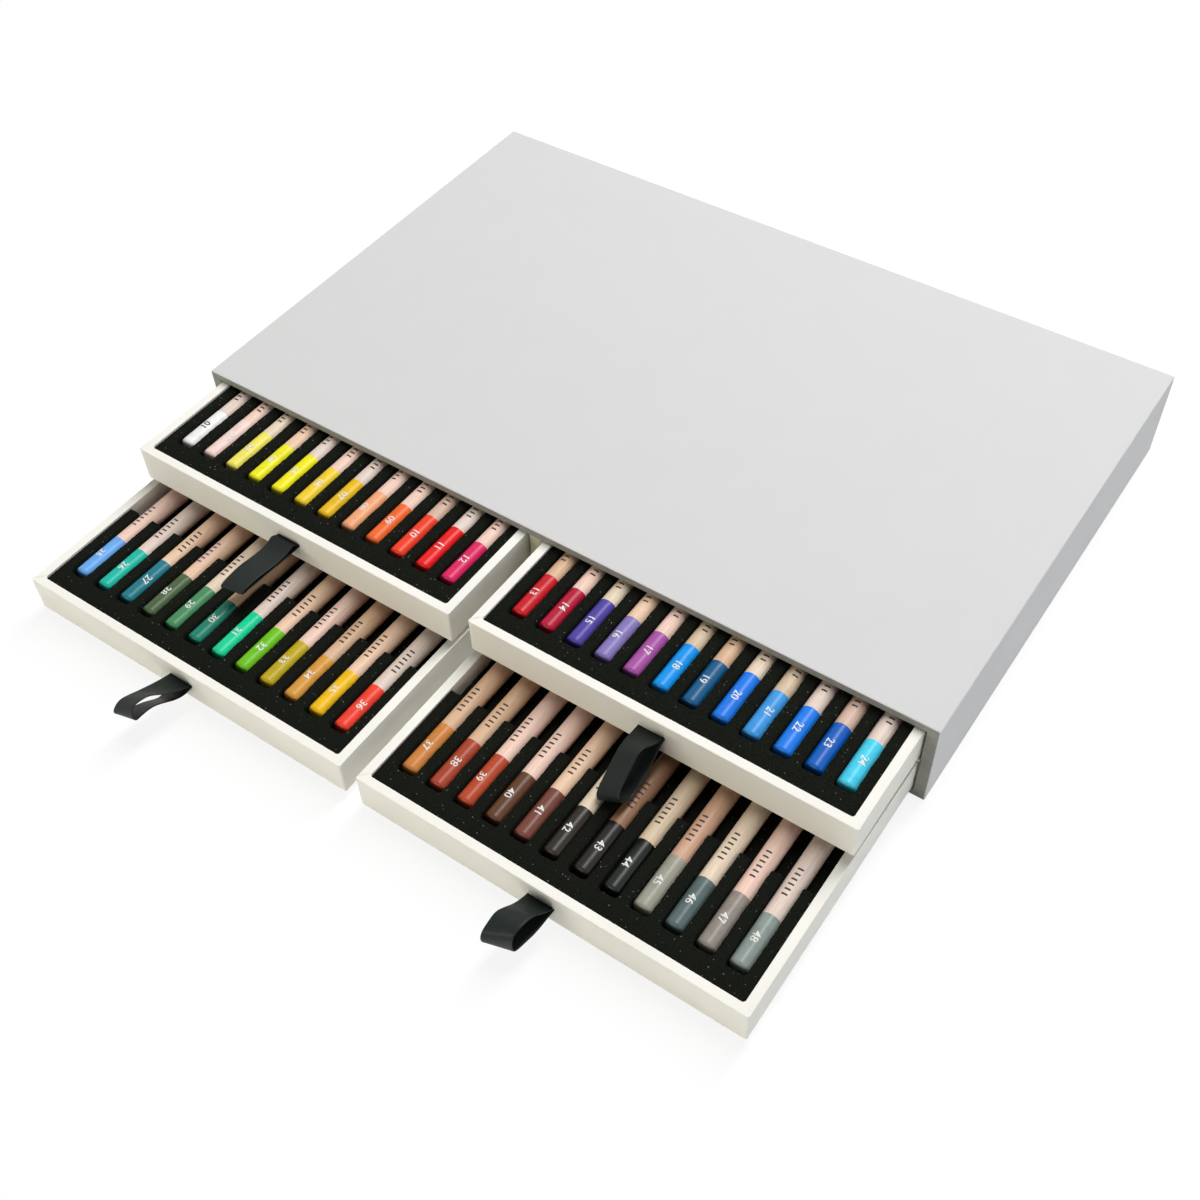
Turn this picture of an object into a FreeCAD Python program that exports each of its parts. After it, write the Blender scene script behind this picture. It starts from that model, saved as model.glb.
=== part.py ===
import FreeCAD, Part
import os
from math import cos, pi, sin, tan

# A desk box for pastel pencils: a flat paper-covered sleeve, open at the front, with four trays
# that slide out of it, two side by side on each of two levels. Each tray holds a row of pencils
# in black foam and has a ribbon loop to pull it by.
#
# The origin is the middle of the sleeve's underside. X runs to the right as seen from the front,
# Y from the front to the back, and Z up. The trays stand partly pulled out, towards -Y.

# Pencils
pencils_in_a_tray = 12
pencil_diameter = 7.8
pencil_length = 175.0
pencil_pitch = 12.43
dipped_length = 22.0
dome_height = 2.0
sharpened_length = 19.0
core_diameter = 4.0

# The pencils are round. Forty-eight of them would be heavy as true cylinders, so each is turned
# in flats, with one flat below to lie on, and its dome in a few rings. The dome is flatter at its
# tip and rounder at its rim than a ball, and one share gives all of that: at 1 it is an ellipse,
# and the nearer to 0, the squarer it is.
pencil_flats = 14
dome_rings = 3
dome_roundness_share = 0.77
half_share = 0.5

# Room left round the pencils in a tray
side_margin = 4.685
front_margin = 10.1
rear_margin = 19.3
slot_clearance = 0.2
tip_clearance = 1.8

# Trays
tray_wall = 3.8
tray_floor = 2.0
foam_base_thickness = 5.5
foam_top_thickness = 7.5
rim_above_foam = 1.0
foam_clearance = 0.2
front_foam_length = 46.2
finger_trough_length = 60.0

# Ribbon pulls
ribbon_width = 11.0
ribbon_thickness = 0.45
ribbon_reach = 26.0
ribbon_loop_height = 8.6
ribbon_tail_above_floor = 1.0
slit_clearance = 0.25
slit_height_share = 0.53

# Sleeve
sleeve_side = 4.8
sleeve_top_thickness = 3.4
sleeve_bottom_thickness = 3.2
sleeve_back = 3.6
divider_thickness = 6.2
shelf_thickness = 2.0
clearance_beside = 0.8
clearance_under = 0.3
clearance_over = 0.4
clearance_behind = 0.4

# How far each tray is pulled out
pulled_out = {
    "upper_left": 48.8,
    "upper_right": 47.2,
    "lower_left": 114.3,
    "lower_right": 114.8,
}

# Corners of a ribbon loop seen from its side, from the slit over the top and back underneath:
# how far out each one lies and how high, as shares of the loop's reach and height, and how
# round it is, as a share of the height
loop_corner_shares = [
    (0.09, 0.00, 0.00),
    (0.40, 0.44, 0.90),
    (0.68, 0.47, 0.45),
    (0.97, -0.20, 0.20),
    (0.90, -0.46, 0.16),
    (0.42, -0.42, 0.90),
]

# Sizes that follow from those above
inner_width = 2 * side_margin + (pencils_in_a_tray - 1) * pencil_pitch + pencil_diameter
inner_depth = front_margin + pencil_length + rear_margin
tray_width = inner_width + 2 * tray_wall
tray_depth = inner_depth + 2 * tray_wall
tray_height = tray_floor + foam_base_thickness + foam_top_thickness + rim_above_foam
bay_width = tray_width + 2 * clearance_beside
bay_height = clearance_under + tray_height + clearance_over
sleeve_width = 2 * sleeve_side + 2 * bay_width + divider_thickness
sleeve_depth = tray_depth + clearance_behind + sleeve_back
shelf_bottom = sleeve_bottom_thickness + bay_height
shelf_top = shelf_bottom + shelf_thickness
roof = shelf_top + bay_height
sleeve_height = roof + sleeve_top_thickness
mouth = -sleeve_depth / 2
pencil_radius = pencil_diameter / 2
core_radius = core_diameter / 2
point_length = sharpened_length * core_diameter / pencil_diameter
foam_top_face = tray_floor + foam_base_thickness + foam_top_thickness
pencil_axis_height = tray_floor + foam_base_thickness + slot_clearance + pencil_radius
slit_level = tray_height * slit_height_share
folded_ribbon = 2 * ribbon_thickness


def block(x, y, z):
    """A block between a low and a high place along each axis."""
    low = FreeCAD.Vector(x[0], y[0], z[0])
    return Part.makeBox(x[1] - x[0], y[1] - y[0], z[1] - z[0], low)


def about(middle, width):
    """A low and a high place, with that width between them."""
    return (middle - width / 2, middle + width / 2)


def turned(profile):
    """A solid turned about the Y axis, in flats, from the radius and place of each of its rings. The
    profile starts and ends on the axis, and a ring of no radius is a point.
    """
    turns = [2 * pi * (i + half_share) / pencil_flats for i in range(pencil_flats)]
    rings = [
        [FreeCAD.Vector(radius * sin(turn), y, -radius * cos(turn)) for turn in turns]
        for radius, y in profile
    ]
    faces = []
    for ahead, (start, end) in enumerate(zip(rings, rings[1:])):
        flat_end = profile[ahead][1] == profile[ahead + 1][1]
        if flat_end:
            rim = start if profile[ahead][0] > 0 else end
            faces.append(Part.Face(Part.makePolygon(rim + rim[:1])))
            continue
        for i in range(pencil_flats):
            corners = [start[i - 1], start[i], end[i], end[i - 1]]
            if profile[ahead][0] == 0:
                corners = corners[1:]
            if profile[ahead + 1][0] == 0:
                corners = corners[:3]
            faces.append(Part.Face(Part.makePolygon(corners + corners[:1])))
    solid = Part.Solid(Part.Shell(faces))
    if solid.Volume < 0:
        solid.reverse()
    return solid


def dipped_end():
    """A pencil's lacquered end: a short round bar with a domed face, from the dome's tip at Y = 0."""
    quarter = [pi / 2 * i / dome_rings for i in range(dome_rings + 1)]
    dome = [
        (
            pencil_radius * sin(turn) ** dome_roundness_share,
            dome_height - dome_height * cos(turn) ** dome_roundness_share,
        )
        for turn in quarter
    ]
    return turned(dome + [(pencil_radius, dipped_length), (0, dipped_length)])


def wooden_barrel():
    """A pencil's cedar casing, from the lacquered end to where the sharpened cone meets the core."""
    return turned(
        [
            (0, dipped_length),
            (pencil_radius, dipped_length),
            (pencil_radius, pencil_length - sharpened_length),
            (core_radius, pencil_length - point_length),
            (0, pencil_length - point_length),
        ]
    )


def pigment_point():
    """The bare end of a pencil's pastel core, sharpened to a point."""
    return turned(
        [
            (0, pencil_length - point_length),
            (core_radius, pencil_length - point_length),
            (0, pencil_length),
        ]
    )


def pencil_places(middle):
    """Where the pencils' axes lie along X in a tray with that middle."""
    first = middle - (pencils_in_a_tray - 1) * pencil_pitch / 2
    return [first + i * pencil_pitch for i in range(pencils_in_a_tray)]


def one_for_each_pencil(solid, middle, front, floor):
    """Copies of a pencil's piece, one for each place in a tray."""
    start = front + tray_wall + front_margin
    height = floor + pencil_axis_height
    places = [FreeCAD.Vector(x, start, height) for x in pencil_places(middle)]
    return Part.makeCompound([solid.translated(place) for place in places])


def corner_frame(outline, i):
    """For a corner of an outline: the ways to its neighbours, the way between, and half its angle."""
    corner = outline[i]
    back = (outline[i - 1] - corner).normalize()
    ahead = (outline[(i + 1) % len(outline)] - corner).normalize()
    return back, ahead, (back + ahead).normalize(), back.getAngle(ahead) / 2


def grown(outline, by):
    """A convex outline with each side moved outwards."""
    moved = []
    for i, corner in enumerate(outline):
        _, _, inwards, half_angle = corner_frame(outline, i)
        moved.append(corner - inwards * (by / sin(half_angle)))
    return moved


def rounded_face(outline, radii):
    """A flat face inside a convex outline whose corners are arcs of their own radii."""
    arcs = []
    for i, corner in enumerate(outline):
        back, ahead, inwards, half_angle = corner_frame(outline, i)
        run = radii[i] / tan(half_angle)
        middle = corner + inwards * (radii[i] / sin(half_angle) - radii[i])
        arcs.append((corner + back * run, middle, corner + ahead * run))
    edges = []
    for i, (start, middle, end) in enumerate(arcs):
        if radii[i] > 0:
            edges.append(Part.Arc(start, middle, end).toShape())
        edges.append(Part.makeLine(end, arcs[(i + 1) % len(arcs)][0]))
    return Part.Face(Part.Wire(edges))


def ribbon_loop():
    """A satin ribbon folded double: glued behind the front board, out through its slit, and open in
    a loop outside. The front board's outer face is at Y = 0 and the slit's middle at Z = 0.
    """
    corners = [
        FreeCAD.Vector(0, -out * ribbon_reach, up * ribbon_loop_height)
        for out, up, _ in loop_corner_shares
    ]
    radii = [share * ribbon_loop_height for _, _, share in loop_corner_shares]
    half = ribbon_thickness / 2
    outer = rounded_face(grown(corners, half), [r + half if r > 0 else 0 for r in radii])
    inner = rounded_face(grown(corners, -half), [max(r - half, 0) for r in radii])
    across = FreeCAD.Vector(ribbon_width, 0, 0)
    x = (0, ribbon_width)
    tail_end = tray_floor + ribbon_tail_above_floor - slit_level
    tail = block(x, (tray_wall, tray_wall + folded_ribbon), (tail_end, ribbon_thickness))
    neck_end = -loop_corner_shares[0][0] * ribbon_reach
    neck = block(x, (neck_end, tray_wall), about(0, folded_ribbon))
    whole = tail.fuse([neck, outer.extrude(across)]).cut(inner.extrude(across))
    ribbon = whole.removeSplitter()
    ribbon.translate(FreeCAD.Vector(-ribbon_width / 2, 0, 0))
    return ribbon


def foam_slab(x, y, z, slots, notch):
    """A slab of foam with its slots and the notch for the ribbon's tail cut out."""
    slab = block(x, y, z)
    for cut in slots + [notch]:
        slab = slab.cut(cut)
    return slab


def tray(middle, front, floor):
    """The pieces of one tray, by name, with its middle, its front face and its underside given."""
    across = about(middle, tray_width)
    inside = about(middle, inner_width)
    back = front + tray_depth
    behind_front = front + tray_wall
    before_back = back - tray_wall
    height = (floor, floor + tray_height)
    along = (behind_front, before_back)
    slit = block(
        about(middle, ribbon_width + 2 * slit_clearance),
        (front, behind_front),
        about(floor + slit_level, folded_ribbon + 2 * slit_clearance),
    )
    board = {
        "drawer_floor": block(inside, along, (floor, floor + tray_floor)),
        "drawer_front": block(across, (front, behind_front), height).cut(slit),
        "drawer_back": block(across, (before_back, back), height),
        "drawer_left_side": block((across[0], inside[0]), along, height),
        "drawer_right_side": block((inside[1], across[1]), along, height),
    }

    foam_x = about(middle, inner_width - 2 * foam_clearance)
    foam_start = behind_front + foam_clearance
    foam_end = before_back - foam_clearance
    trough_start = behind_front + front_foam_length
    trough_end = trough_start + finger_trough_length
    base_top = floor + tray_floor + foam_base_thickness
    slab_z = (base_top, floor + foam_top_face)
    pencil_start = behind_front + front_margin - tip_clearance
    pencil_end = behind_front + front_margin + pencil_length + slot_clearance
    slots = [
        block(
            about(x, pencil_diameter + 2 * slot_clearance),
            (pencil_start, pencil_end),
            slab_z,
        )
        for x in pencil_places(middle)
    ]
    notch = block(
        about(middle, ribbon_width + 2 * slit_clearance),
        (behind_front, behind_front + folded_ribbon + slit_clearance),
        (floor + tray_floor, floor + slit_level + folded_ribbon),
    )
    foam = {
        "foam_base": foam_slab(
            foam_x, (foam_start, foam_end), (floor + tray_floor, base_top), [], notch
        ),
        "foam_front": foam_slab(foam_x, (foam_start, trough_start), slab_z, slots, notch),
        "foam_rear": foam_slab(foam_x, (trough_end, foam_end), slab_z, slots, notch),
    }

    ribbon = ribbon_loop()
    ribbon.translate(FreeCAD.Vector(middle, front, floor + slit_level))
    contents = {
        "ribbon_pull": ribbon,
        "dipped_ends": one_for_each_pencil(dipped_end(), middle, front, floor),
        "pencil_barrels": one_for_each_pencil(wooden_barrel(), middle, front, floor),
        "pencil_points": one_for_each_pencil(pigment_point(), middle, front, floor),
    }
    return {**board, **foam, **contents}


def sleeve():
    """The boards of the sleeve, by name."""
    across = about(0, sleeve_width)
    along = about(0, sleeve_depth)
    inside = (across[0] + sleeve_side, across[1] - sleeve_side)
    back = along[1] - sleeve_back
    bays = (mouth, back)
    hollow = (sleeve_bottom_thickness, roof)
    shelf = (shelf_bottom, shelf_top)
    divider = about(0, divider_thickness)
    return {
        "sleeve_top": block(across, along, (roof, sleeve_height)),
        "sleeve_bottom": block(across, along, (0, sleeve_bottom_thickness)),
        "sleeve_left_wall": block((across[0], inside[0]), along, hollow),
        "sleeve_right_wall": block((inside[1], across[1]), along, hollow),
        "sleeve_back_wall": block(inside, (back, along[1]), hollow),
        "centre_divider": block(divider, bays, hollow),
        "left_shelf": block((inside[0], divider[0]), bays, shelf),
        "right_shelf": block((divider[1], inside[1]), bays, shelf),
    }


def save(name, shape):
    shape.exportStep("parts/" + name + ".step")


def main():
    os.makedirs("parts", exist_ok=True)
    for name, shape in sleeve().items():
        save(name, shape)
    bay_middle = divider_thickness / 2 + bay_width / 2
    middles = {"left": -bay_middle, "right": bay_middle}
    floors = {
        "lower": sleeve_bottom_thickness + clearance_under,
        "upper": shelf_top + clearance_under,
    }
    for level, floor in floors.items():
        for side, middle in middles.items():
            place = level + "_" + side
            front = mouth - pulled_out[place]
            for name, shape in tray(middle, front, floor).items():
                save(place + "_" + name, shape)


main()
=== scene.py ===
"""The looks of a drawer box of pastel pencils: a papered sleeve with four foam-lined trays."""

from math import cos, pi, radians, sin
from types import SimpleNamespace

import bmesh
import bpy
import numpy as np
from mathutils import Matrix, Vector


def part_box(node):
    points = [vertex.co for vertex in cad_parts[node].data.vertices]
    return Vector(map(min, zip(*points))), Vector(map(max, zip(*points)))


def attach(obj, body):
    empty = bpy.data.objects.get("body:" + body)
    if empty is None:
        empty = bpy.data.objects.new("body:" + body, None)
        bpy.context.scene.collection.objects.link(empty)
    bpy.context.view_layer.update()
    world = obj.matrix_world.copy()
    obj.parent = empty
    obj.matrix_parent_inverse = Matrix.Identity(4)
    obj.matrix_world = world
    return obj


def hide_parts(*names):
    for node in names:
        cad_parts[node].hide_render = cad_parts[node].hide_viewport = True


bl_info = {
    "name": "Pastel Drawer Box",
    "version": (1, 0, 0),
    "blender": (4, 5, 0),
    "location": "3D View > Sidebar > Drawer Box",
    "description": "Dresses the packed model of a drawer box of pastel pencils",
    "category": "Add Mesh",
}

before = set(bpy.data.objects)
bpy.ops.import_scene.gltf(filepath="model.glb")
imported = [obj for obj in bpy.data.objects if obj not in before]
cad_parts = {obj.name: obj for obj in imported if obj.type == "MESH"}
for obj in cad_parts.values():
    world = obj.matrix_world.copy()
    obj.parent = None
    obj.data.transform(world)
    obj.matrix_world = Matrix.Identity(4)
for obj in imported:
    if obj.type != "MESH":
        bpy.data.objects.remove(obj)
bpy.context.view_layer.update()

MM = 0.001
PLACES = ("upper_left", "upper_right", "lower_left", "lower_right")

# The lacquer on the pencils' ends, from the left to the right of each tray
LACQUERS = {
    "upper_left": (
        "F6F6F4 F6D8CE F4E860 F6F010 F6EC08 F4D028 EEBE10 F4A878 F46A28 F23E1E EC1012 DE2060"
    ),
    "upper_right": (
        "CC1222 B80C34 4E42A2 8A7ABC AA54A6 0C98F0 0C5888 1E7CEC 409CE6 1E80F0 0C60C0 4CD4F4"
    ),
    "lower_left": (
        "6AACF4 0CBCA8 0C7686 465E3A 428A5A 0C8068 0CD69C 6EC20E C0A812 D89A3C F4C00E F4402C"
    ),
    "lower_right": (
        "D0843C AA4228 B84828 5E3A22 744236 241E16 181212 0C130E A09E90 586A6A 948C84 8C9894"
    ),
}

# The tones of cedar, and which of them each pencil's casing has, from the left to the right. The
# brown of the seventh pencil in the lower right tray is cedar with a painted shadow of the ribbon
# that hangs above it
CEDARS = {
    "pink": "F8D7C8",
    "grey": "EADACF",
    "cream": "EEDDC5",
    "peach": "F4D2B5",
    "tan": "E0BC9B",
    "sand": "DCC9AC",
    "rose": "DABCAA",
    # Painted shadow: cedar darkened as under the ribbon above
    "dusky": "D6AE93",
    "brown": "936E53",
}
CASINGS = {
    "upper_left": "grey pink cream peach grey pink grey pink pink rose grey pink",
    "upper_right": "tan pink cream peach pink sand tan cream sand grey rose grey",
    "lower_left": "pink grey peach peach cream tan grey peach pink tan peach grey",
    "lower_right": "tan tan pink pink peach cream brown sand dusky cream pink grey",
}

# The pencils whose number or bars are in another ink, each as its tray and its place in the row
DARK_NUMBERED = ("upper_left", 0)
BLUE_BARRED = ("lower_left", 3)

# How each ribbon lies, from the slit over the top of its loop and back underneath. Each row gives
# how far the ribbon's middle strays to the left there, and then how far out from the tray's front
# and how far above the slit its left and its right edge are, in millimetres. The two layers lie
# the same way in every slit.
UPPER_LAYER_IN_SLIT = ((0, -5, 0.3, -5, 0.3), (0, 0, 0.3, 0, 0.3))
LOWER_LAYER_IN_SLIT = ((0, 0, -0.3, 0, -0.3), (0, -5, -0.3, -5, -0.3))
RIBBON_LIES = {
    "upper_left": (
        (0.2, 3.1, 2, 2.5, 2.2),
        (0.3, 3.9, 1.7, 3.3, 2),
        (0.6, 6.2, 0, 5.8, 0.6),
        (0.8, 10, -0.5, 10, 0.2),
        (1, 15.2, -0.1, 15.5, 0.5),
        (1.4, 20.5, 0.3, 20.6, 0.9),
        (1.8, 26.5, -0.4, 26.2, 0.6),
        (2.1, 31.4, -1.6, 30.4, -0.3),
        (1.9, 30.6, -4.2, 30.2, -1.2),
        (1.6, 26, -3.7, 26, -1),
        (1.2, 18, -1.7, 18, -0.7),
        (0.8, 10, -1.6, 10, -0.9),
        (0.2, 3, -0.8, 3, -0.8),
    ),
    "upper_right": (
        (0.2, 5.7, 1, 6.6, 3.9),
        (0.8, 11.4, 1.6, 12.2, 7.4),
        (1, 16.6, -2.4, 17, 3.4),
        (0.8, 22.3, -5.4, 22.4, 0.4),
        (0.3, 27.4, -8, 26.8, -2.2),
        (-1, 28, -11.2, 27.4, -5.2),
        (-0.8, 25, -11.6, 23, -8.8),
        (-0.6, 19.7, -10.6, 19.7, -9.5),
        (-0.4, 14.3, -9.2, 14.4, -7.6),
        (-0.2, 9, -7.5, 9.1, -6.5),
        (0, 5, -4.4, 5, -3.9),
        (0, 1.6, -1.2, 1.6, -1.2),
    ),
    "lower_left": (
        (0.5, 7, 2.2, 5, 2.3),
        (1.5, 13.7, 4.1, 11.7, 6.7),
        (2.7, 18.6, 5.6, 15.5, 9.4),
        (3.7, 22, 5.6, 20.2, 9.8),
        (4, 25.4, 3.6, 23.8, 8.8),
        (4, 25.6, 0.2, 24.6, 2.4),
        (3.4, 21, -1.6, 21.6, 2.9),
        (2.9, 15.7, -2.9, 17.2, 2.7),
        (2.2, 12.8, -3.9, 14.4, 2.2),
        (1.5, 9.8, -5.6, 11, 0.6),
        (1, 6.6, -6.6, 7.2, -1.5),
        (0.3, 3, -2.6, 3, -1.4),
    ),
    "lower_right": (
        (0.4, 6.5, 3, 5, 4.6),
        (1, 12, 7.9, 9.3, 8.9),
        (1.7, 14.8, 8.6, 14.2, 9.7),
        (2.1, 18.5, 7.1, 17.5, 8.9),
        (2.4, 22.2, 5.4, 19.2, 6.4),
        (2.6, 23.1, 1.7, 19.4, 0.8),
        (2.4, 22.2, -1.3, 18.6, -3.1),
        (1.6, 17, -1.5, 15, -2),
        (0.7, 9, -1.5, 9, -1.9),
        (0.2, 4, -0.7, 3.6, -0.7),
    ),
}


def linear(code):
    """The linear colour of an sRGB hex code, with full alpha."""
    shares = [int(code[i : i + 2], 16) / 255 for i in (0, 2, 4)]
    return [s / 12.92 if s <= 0.04045 else ((s + 0.055) / 1.055) ** 2.4 for s in shares] + [1.0]


def length(name, description, millimetres):
    """A length that a user can set, given in millimetres and kept in metres."""
    return bpy.props.FloatProperty(
        name=name, description=description, default=millimetres * MM, unit="LENGTH", precision=5
    )


def colour(name, description, code):
    """A colour that a user can set, given as an sRGB hex code."""
    return bpy.props.FloatVectorProperty(
        name=name, description=description, default=linear(code), subtype="COLOR", size=4
    )


def angle(name, description, degrees):
    """An angle that a user can set, given in degrees and kept in radians."""
    return bpy.props.FloatProperty(
        name=name, description=description, default=radians(degrees), unit="ROTATION"
    )


def number(name, description, value, **kind):
    """A number that a user can set, with its unit or subtype."""
    return bpy.props.FloatProperty(name=name, description=description, default=value, **kind)


class SleeveSettings(bpy.types.PropertyGroup):
    """Sizes and colours of the sleeve"""

    long_edge: length("Long edge", "Radius of the paper over the long edges", 0.7)
    mouth_edge: length("Mouth edge", "Radius of the board's edge at the mouth", 0.35)
    back_paper: length("Back paper", "Thickness of the paper on the back", 0.2)
    back_inset: length("Back inset", "Bare rim round the paper on the back", 2.2)
    grey_paper: colour("Grey paper", "Colour of the covering paper", "D5D5D5")
    board_edge: colour("Board edge", "Colour of the board's edge at the mouth", "9C9C96")
    lining: colour("Lining", "Colour of the paper inside", "CFCBB2")


class TraySettings(bpy.types.PropertyGroup):
    """Sizes and colours of the trays"""

    outer_corner: length("Outer corner", "Radius of the upright corners outside", 0.9)
    inner_corner: length("Inner corner", "Radius of the upright corners inside", 1.1)
    rim: length("Rim", "Radius of the rim's edges", 0.32)
    wave: length("Wave", "How far the wrapped boards are from flat", 0.1)
    overlap: length("Overlap", "How far the front's paper laps round the corner", 1.5)
    paper_step: length("Paper step", "Height of the lapped paper's edge", 0.1)
    cream_paper: colour("Cream paper", "Colour of the covering paper", "FAF8F0")


class FoamSettings(bpy.types.PropertyGroup):
    """Sizes and colours of the foam"""

    row_step: length("Row step", "Spacing of the foam's rows of points", 0.5)
    nap: length("Nap", "Height of the foam's roughness", 0.1)
    lip: length("Lip", "How far a slot's right edge strays over its pencil", 0.35)
    foam: colour("Foam", "Colour of the foam", "1D1F1A")
    tip_gap: length("Tip gap", "Room before the pencils' ends in their slots", 1.8)
    # The specks are painted glints, where the foam's cell walls catch the light
    speck: colour("Speck", "Colour of the specks on the foam", "868A82")


class PencilSettings(bpy.types.PropertyGroup):
    """Sizes and colours of the pencils"""

    dome: length("Dome", "Height of a pencil's domed end", 2.0)
    seam_spread: length("Seam spread", "How much the lacquer's edge varies between pencils", 0.55)
    lacquer_lip: length("Lacquer lip", "Thickness of the lacquer over the wood", 0.07)
    grain: colour("Grain", "Colour that the cedar's grain is darkened by", "D6B49C")
    white_ink: colour("White ink", "Ink of the numbers", "F2F2EE")
    dark_ink: colour("Dark ink", "Ink of the bars and of the number on white", "3A332F")
    blue_ink: colour("Blue ink", "Ink of the bars on one pencil", "3A3A9C")


class RibbonSettings(bpy.types.PropertyGroup):
    """Sizes and colours of the ribbons"""

    width: length("Width", "Width of the ribbon", 11.0)
    thickness: length("Thickness", "Thickness of the ribbon", 0.42)
    cut_length: length("Cut length", "Length that the ribbon is cut to", 80.0)
    satin: colour("Satin", "Colour of the satin", "151B19")


class StageSettings(bpy.types.PropertyGroup):
    """The camera, the light and the floor"""

    azimuth: angle("Azimuth", "The camera's turn round the box", 36.47)
    elevation: angle("Elevation", "The camera's height over the floor", 49.59)
    roll: angle("Roll", "The camera's roll", -2.45)
    distance: length("Distance", "From the camera to the point that it looks at", 604.87)
    lens: number("Lens", "Focal length on a frame 36 mm wide", 44.957, unit="CAMERA")
    sky: number("Sky", "Strength of the light from all round", 0.12, subtype="FACTOR")
    key: number("Key", "Power of the lamp behind", 55.5, unit="POWER")
    floor: colour("Floor", "Colour of the floor", "F4F4F4")
    floor_shadow: number("Floor shadow", "Share of it that the camera sees", 0.16, subtype="FACTOR")
    floor_lift: number("Floor lift", "Brightness added for the camera", 0.865, subtype="FACTOR")


def settings(name):
    """One group of the scene's settings."""
    return getattr(bpy.context.scene, name)


# The Mix node's inputs for colours, and its output
SHARE, FIRST, SECOND, BLEND = 0, 6, 7, 2


def feed(node, values):
    """Sets a node's settings and inputs. A value that is another node, for its first output, or
    one output of another node, is linked to the input.
    """
    for name, value in values.items():
        if isinstance(value, bpy.types.Node):
            value = value.outputs[0]
        if isinstance(value, bpy.types.NodeSocket):
            node.id_data.links.new(value, node.inputs[name])
        elif isinstance(name, int) or name in node.inputs:
            node.inputs[name].default_value = value
        else:
            setattr(node, name, value)


def add_node(tree, kind, values=None):
    """Adds a shader node with its settings and the links into it."""
    made = tree.nodes.new("ShaderNode" + kind)
    feed(made, values or {})
    return made


def new_material(name):
    """A material that has only a surface shader yet, with its node tree and that shader."""
    made = bpy.data.materials.new(name)
    made.use_nodes = True
    tree = made.node_tree
    tree.nodes.clear()
    shader = add_node(tree, "BsdfPrincipled")
    add_node(tree, "OutputMaterial", {"Surface": shader})
    return made, tree, shader


def dimmed(tone, share):
    """A colour with its red, green and blue multiplied by a share."""
    return [part * share for part in tone[:3]] + [1.0]


def covering_paper(name, tone, cloud, roughness):
    """Wrapping paper glued over board: uncoated and matt, so it gives the eye a soft even tone,
    a little tooth from its fibres and faint clouds where the glue below has drawn it.
    """
    made, tree, shader = new_material(name)
    where = add_node(tree, "TexCoord").outputs["Object"]
    # Fibres are about 0.1 mm wide; they are drawn 0.6 mm wide to show in the render
    fibre = add_node(tree, "TexNoise", {"Vector": where, "Scale": 1 / (0.6 * MM), "Detail": 3.0})
    drawn = add_node(tree, "TexNoise", {"Vector": where, "Scale": 1 / (22 * MM), "Detail": 1.0})
    darker = dimmed(tone, 1 - cloud)
    clouds = add_node(tree, "MapRange", {"Value": drawn, "From Min": 0.35, "From Max": 0.7})
    clouded = {"data_type": "RGBA", SHARE: clouds, FIRST: list(tone), SECOND: darker}
    paper = add_node(tree, "Mix", clouded).outputs[BLEND]
    tufts = {"Value": fibre, "From Min": 0.62, "From Max": 0.8, "To Max": 0.12}
    speckled = {
        "data_type": "RGBA",
        SHARE: add_node(tree, "MapRange", tufts),
        FIRST: paper,
        SECOND: darker,
    }
    feed(shader, {"Base Color": add_node(tree, "Mix", speckled).outputs[BLEND]})
    feed(shader, {"Roughness": roughness, "IOR": 1.47, "Specular IOR Level": 0.3})
    tooth = add_node(tree, "Bump", {"Height": fibre, "Distance": 0.02 * MM, "Strength": 0.6})
    feed(shader, {"Normal": tooth})
    return made


def greyboard_edge(name, tone):
    """The cut edge of greyboard: pulp in layers, so it shows fine streaks along the edge."""
    made, tree, shader = new_material(name)
    where = add_node(tree, "TexCoord").outputs["Object"]
    grain = add_node(tree, "Mapping", {"Vector": where, "Scale": (0.12, 1.0, 0.12)})
    # Pulp layers are about 0.2 mm thick; they are drawn twice as thick
    layers = add_node(tree, "TexNoise", {"Vector": grain, "Scale": 1 / (0.4 * MM), "Detail": 3.0})
    shade = add_node(tree, "MapRange", {"Value": layers, "From Min": 0.35, "From Max": 0.75})
    streaks = {"data_type": "RGBA", SHARE: shade, FIRST: list(tone), SECOND: dimmed(tone, 0.8)}
    feed(shader, {"Base Color": add_node(tree, "Mix", streaks).outputs[BLEND]})
    feed(shader, {"Roughness": 0.9, "IOR": 1.47, "Specular IOR Level": 0.2})
    ridges = add_node(tree, "Bump", {"Height": layers, "Distance": 0.03 * MM})
    feed(shader, {"Normal": ridges})
    return made


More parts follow.
